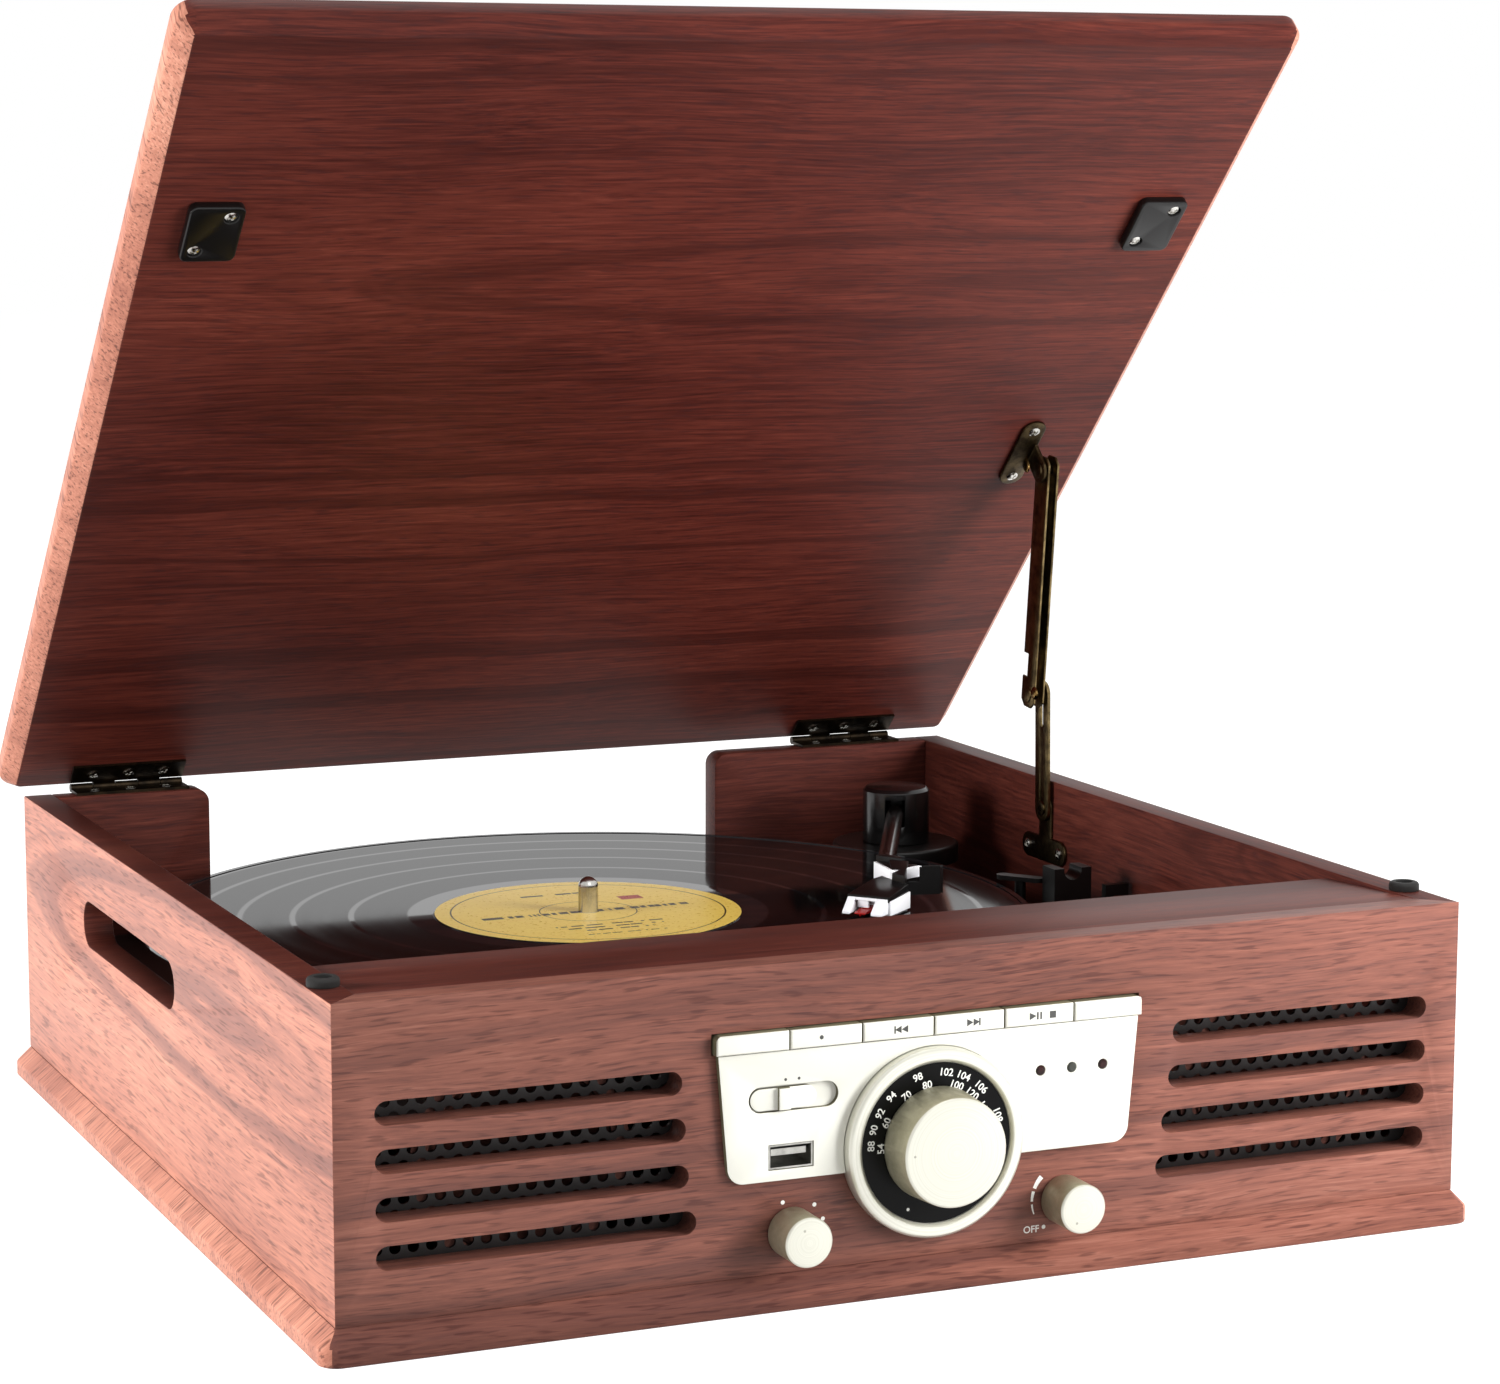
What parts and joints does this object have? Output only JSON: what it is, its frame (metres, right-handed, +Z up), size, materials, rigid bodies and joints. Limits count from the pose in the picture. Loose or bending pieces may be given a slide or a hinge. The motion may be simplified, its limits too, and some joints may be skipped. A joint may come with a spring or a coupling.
{
  "type": "stereo music centre",
  "caption": "Wooden stereo music centre with a hinged lid, a belt-driven record deck, a tonearm, a control panel and two built-in loudspeakers.",
  "frame": {"origin": "centre of the plinth's bottom face", "axes": "+Z up, +X to the right seen from the front, +Y to the back"},
  "size_m": [0.376, 0.3945, 0.3731],
  "materials": {
    "arm_metal": "black anodised",
    "black_plastic": "satin",
    "brass": "antique",
    "champagne_metal": "champagne satin",
    "circuit_board": "solder resist",
    "cream_plastic": "gloss",
    "grille_metal": "black",
    "hinge_steel": "dark bronzed",
    "lamp_plastic": "clear dark",
    "platter_metal": "satin",
    "red_plastic": "gloss",
    "rubber": "matte",
    "socket_plastic": "plain",
    "speaker_metal": "black",
    "steel": "bright",
    "switch_plastic": "plain",
    "transformer_steel": "laminated",
    "vinyl": "grooved",
    "white_plastic": "gloss",
    "wood": "satin veneer"
  },
  "bodies": {
    "case": {"plinth": "wood", "left_wall": "wood", "right_wall": "wood", "front_panel": "wood", "front_top_board": "wood", "back_wall": "wood", "deck_rails": "wood", "deck_plate": "black_plastic", "case_bumpers": "rubber", "case_screws": "steel", "speaker_grilles": "grille_metal", "speaker_drivers": "speaker_metal", "control_fascia": "cream_plastic", "dial_ring": "champagne_metal", "dial_scale": "black_plastic", "front_board": "circuit_board", "panel_switches": "switch_plastic", "usb_socket": "steel", "indicator_leds": "lamp_plastic", "main_board": "circuit_board", "transformer": "transformer_steel", "socket_plate": "steel", "rear_sockets": "socket_plastic", "motor": "steel", "drive_belt": "rubber", "bearing_housing": "brass", "arm_base": "black_plastic", "arm_rest": "black_plastic", "hinge_case_leaves": "hinge_steel", "stay_case_bracket": "brass"},
    "lid": {"lid": "wood", "lid_pads": "black_plastic", "lid_screws": "steel", "hinge_lid_leaves": "hinge_steel", "stay_lid_bracket": "brass"},
    "stay_lower": {"stay_lower_link": "brass"},
    "stay_upper": {"stay_upper_link": "brass"},
    "platter": {"platter": "platter_metal", "spindle": "steel", "slip_mat": "rubber", "record": "vinyl"},
    "pulley": {"motor_pulley": "steel"},
    "turret": {"arm_turret": "black_plastic"},
    "arm": {"tonearm_tube": "arm_metal", "headshell": "black_plastic", "cartridge": "white_plastic", "stylus": "red_plastic"},
    "lever": {"cue_lever": "black_plastic"},
    "lift": {"cue_lift": "black_plastic"},
    "tuning": {"tuning_knob": "champagne_metal"},
    "selector": {"selector_knob": "champagne_metal"},
    "volume": {"volume_knob": "champagne_metal"},
    "slide": {"slide_knob": "cream_plastic"},
    "button_1": {"button_1": "cream_plastic"},
    "button_2": {"button_2": "cream_plastic"},
    "button_3": {"button_3": "cream_plastic"},
    "button_4": {"button_4": "cream_plastic"},
    "button_5": {"button_5": "cream_plastic"},
    "button_6": {"button_6": "cream_plastic"}
  },
  "joints": [
    {"name": "lid_hinge", "type": "hinge", "parent": "case", "child": "lid", "pos_m": [0, 0.18375, 0.10225], "axis": [1, 0, 0], "range_deg": [0, 45.5]},
    {"name": "stay_lower_hinge", "type": "hinge", "parent": "case", "child": "stay_lower", "pos_m": [0.1689, 0.0695, 0.0907], "axis": [1, 0, 0], "range_deg": [-79.3, 0.1]},
    {"name": "stay_upper_hinge", "type": "hinge", "parent": "lid", "child": "stay_upper", "pos_m": [0.1652, 0.06216, 0.21529], "axis": [1, 0, 0], "range_deg": [-0.1, 38.7]},
    {"name": "platter_spin", "type": "hinge", "parent": "case", "child": "platter", "pos_m": [-0.0225, 0.0353, 0.06], "axis": [0, 0, 1], "continuous": true},
    {"name": "pulley_spin", "type": "hinge", "parent": "case", "child": "pulley", "pos_m": [-0.07474, 0.10487, 0.05], "axis": [0, 0, 1], "continuous": true},
    {"name": "arm_swing", "type": "hinge", "parent": "case", "child": "turret", "pos_m": [0.1335, 0.1195, 0.073], "axis": [0, 0, 1], "range_deg": [-14, 35.1]},
    {"name": "arm_lift", "type": "hinge", "parent": "turret", "child": "arm", "pos_m": [0.1335, 0.1195, 0.0845], "axis": [-0.887, 0.4617, 0], "range_deg": [0, 5.5]},
    {"name": "cue_lever", "type": "hinge", "parent": "case", "child": "lever", "pos_m": [0.162, 0.007, 0.0545], "axis": [1, 0, 0], "range_deg": [0, 40]},
    {"name": "cue_lift", "type": "slide", "parent": "case", "child": "lift", "axis": [0, 0, 1], "range_m": [0, 0.0047]},
    {"name": "tuning_turn", "type": "hinge", "parent": "case", "child": "tuning", "pos_m": [0, -0.19, 0.0448], "axis": [0, 1, 0], "range_deg": [-135, 135]},
    {"name": "selector_turn", "type": "hinge", "parent": "case", "child": "selector", "pos_m": [-0.0442, -0.19, 0.0221], "axis": [0, 1, 0], "range_deg": [-40, 40]},
    {"name": "volume_turn", "type": "hinge", "parent": "case", "child": "volume", "pos_m": [0.0442, -0.19, 0.0221], "axis": [0, 1, 0], "range_deg": [0, 280]},
    {"name": "slide_switch", "type": "slide", "parent": "case", "child": "slide", "axis": [1, 0, 0], "range_m": [0, 0.006]},
    {"name": "button_1_press", "type": "slide", "parent": "case", "child": "button_1", "axis": [0, 1, 0], "range_m": [0, 0.0012], "stiffness_N_per_m": 250},
    {"name": "button_2_press", "type": "slide", "parent": "case", "child": "button_2", "axis": [0, 1, 0], "range_m": [0, 0.0012], "stiffness_N_per_m": 250},
    {"name": "button_3_press", "type": "slide", "parent": "case", "child": "button_3", "axis": [0, 1, 0], "range_m": [0, 0.0012], "stiffness_N_per_m": 250},
    {"name": "button_4_press", "type": "slide", "parent": "case", "child": "button_4", "axis": [0, 1, 0], "range_m": [0, 0.0012], "stiffness_N_per_m": 250},
    {"name": "button_5_press", "type": "slide", "parent": "case", "child": "button_5", "axis": [0, 1, 0], "range_m": [0, 0.0012], "stiffness_N_per_m": 250},
    {"name": "button_6_press", "type": "slide", "parent": "case", "child": "button_6", "axis": [0, 1, 0], "range_m": [0, 0.0012], "stiffness_N_per_m": 250}
  ],
  "couplings": [
    {"joint": "stay_lower_hinge", "follows": "lid_hinge", "ratio": -1.7407},
    {"joint": "stay_upper_hinge", "follows": "lid_hinge", "ratio": 0.84835},
    {"joint": "pulley_spin", "follows": "platter_spin", "ratio": 10.385},
    {"joint": "cue_lift", "follows": "cue_lever", "m_per_rad": 0.006589}
  ]
}
